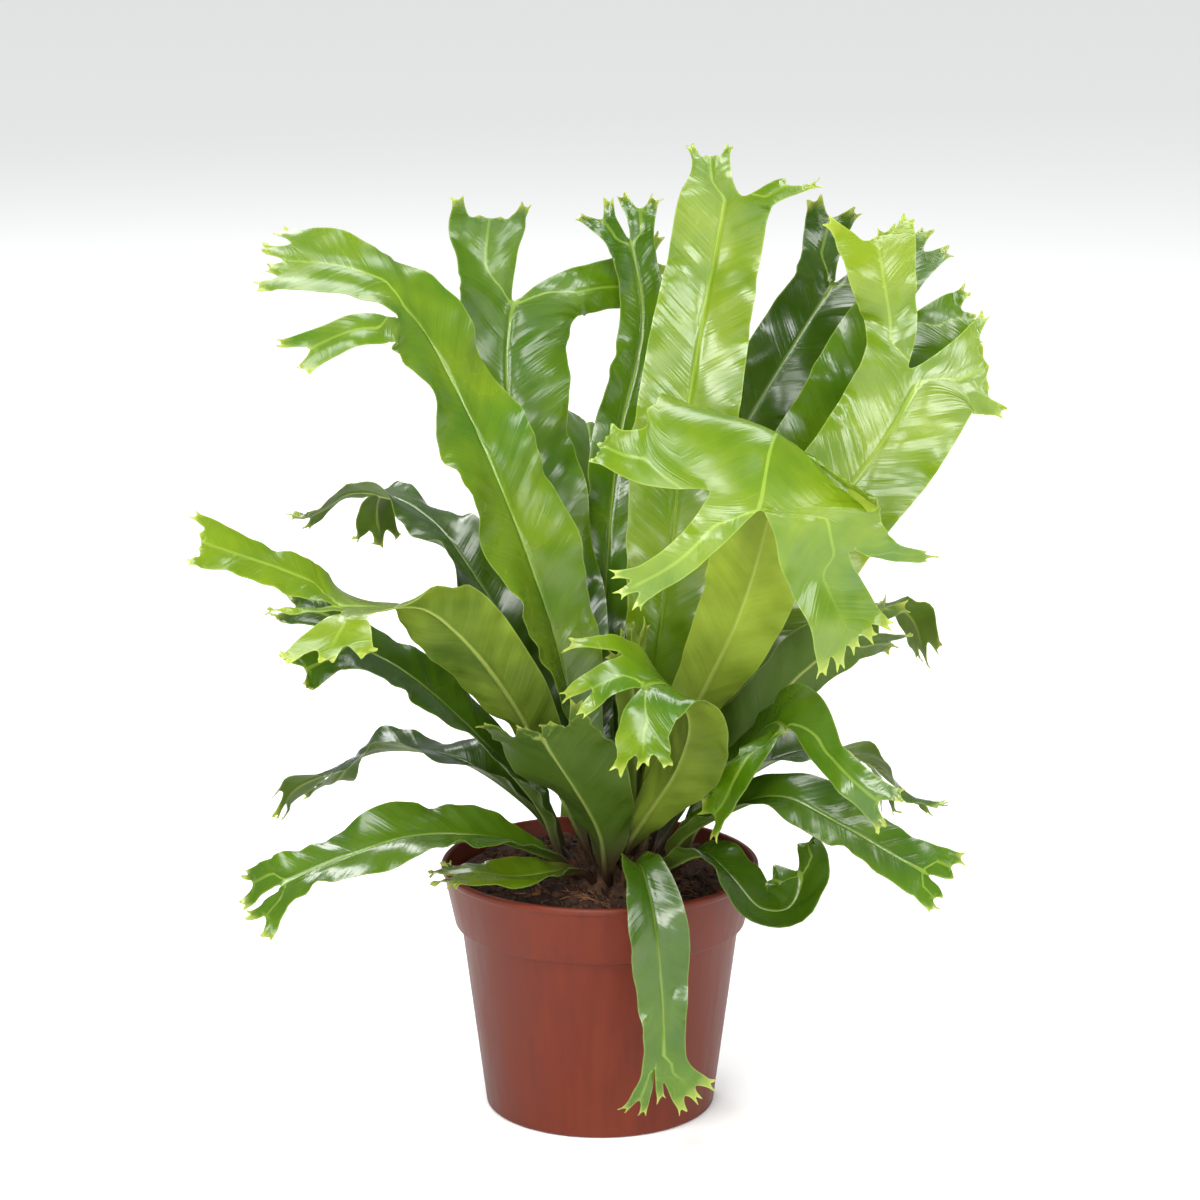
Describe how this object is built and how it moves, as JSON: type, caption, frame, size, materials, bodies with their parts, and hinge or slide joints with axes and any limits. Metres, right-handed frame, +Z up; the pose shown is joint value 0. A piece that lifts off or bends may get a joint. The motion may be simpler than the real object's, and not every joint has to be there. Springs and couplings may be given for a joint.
{
  "type": "potted crested bird's nest fern",
  "caption": "Bird's nest fern with glossy, forked and fringed fronds in a tapered plastic nursery pot with a banded rim.",
  "frame": {"origin": "middle of the pot's underside, on the surface that the pot stands on", "axes": "+Z up along the pot's axis; -Y towards the side that the picture shows; +X to its right"},
  "size_m": [0.2973, 0.2548, 0.363],
  "materials": {
    "pot": "moulded polypropylene, terracotta red, satin",
    "soil": "moist potting compost of peat and coir, loose and matte",
    "crown": "rhizome with dark papery scales",
    "frond_light": "young frond, yellow-green, waxy gloss above and paler below",
    "frond_mid": "grown frond, fresh green, waxy gloss above and paler below",
    "frond_dark": "old frond, dark green, strong gloss"
  },
  "bodies": {
    "root": {"pot": "pot", "soil": "soil", "crown": "crown", "frond_tall_fishtail": "frond_light", "frond_upright_crest": "frond_mid", "frond_left_glossy": "frond_mid", "frond_left_arching": "frond_light", "frond_young_spear": "frond_light", "frond_right_forked": "frond_light", "frond_right_broad": "frond_mid", "frond_right_back_dark": "frond_dark", "frond_back_arching": "frond_mid", "frond_back_left": "frond_dark", "frond_left_pale_strap": "frond_light", "frond_front_antler": "frond_light", "frond_trident": "frond_light", "frond_right_antler": "frond_mid", "frond_right_dark": "frond_dark", "frond_right_back_low": "frond_mid", "frond_back_right": "frond_mid", "frond_back_hanging": "frond_mid", "frond_left_back_low": "frond_dark", "frond_left_dark_strap": "frond_dark", "frond_left_low": "frond_mid", "frond_left_rim": "frond_light", "frond_front_cupped": "frond_dark", "frond_front_hanging": "frond_mid", "frond_right_curl": "frond_dark", "frond_right_low": "frond_mid"}
  },
  "joints": []
}
